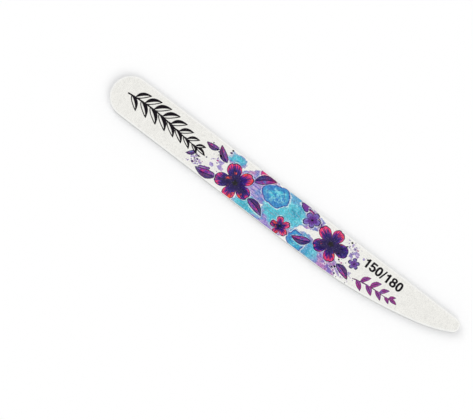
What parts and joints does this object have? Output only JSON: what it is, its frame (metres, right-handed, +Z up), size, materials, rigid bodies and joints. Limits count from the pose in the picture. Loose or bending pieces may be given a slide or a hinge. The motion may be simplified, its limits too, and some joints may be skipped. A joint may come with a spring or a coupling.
{
  "type": "nail file",
  "caption": "Foam-cushioned nail file with a round heel, a straight spine and a curved belly, coated with abrasive on both faces.",
  "frame": {"origin": "centre of the bounding box on the lower, 180 grit face, which is the surface the file lies on", "axes": "+X along the length from the round heel to the nose, +Y across from the belly to the spine, +Z up from the 180 grit face to the printed 150 grit face"},
  "size_m": [0.178, 0.0182, 0.004],
  "materials": {
    "printed_grit_coat": "matte",
    "plain_grit_coat": "matte",
    "backing_paper": "matte",
    "adhesive_film": "satin",
    "foam": "matte",
    "core_plastic": "satin"
  },
  "bodies": {
    "root": {"grit_coat_150": "printed_grit_coat", "backing_paper_150": "backing_paper", "face_film_150": "adhesive_film", "foam_pad_150": "foam", "core_film_150": "adhesive_film", "core_board": "core_plastic", "core_film_180": "adhesive_film", "foam_pad_180": "foam", "face_film_180": "adhesive_film", "backing_paper_180": "backing_paper", "grit_coat_180": "plain_grit_coat"}
  },
  "joints": []
}
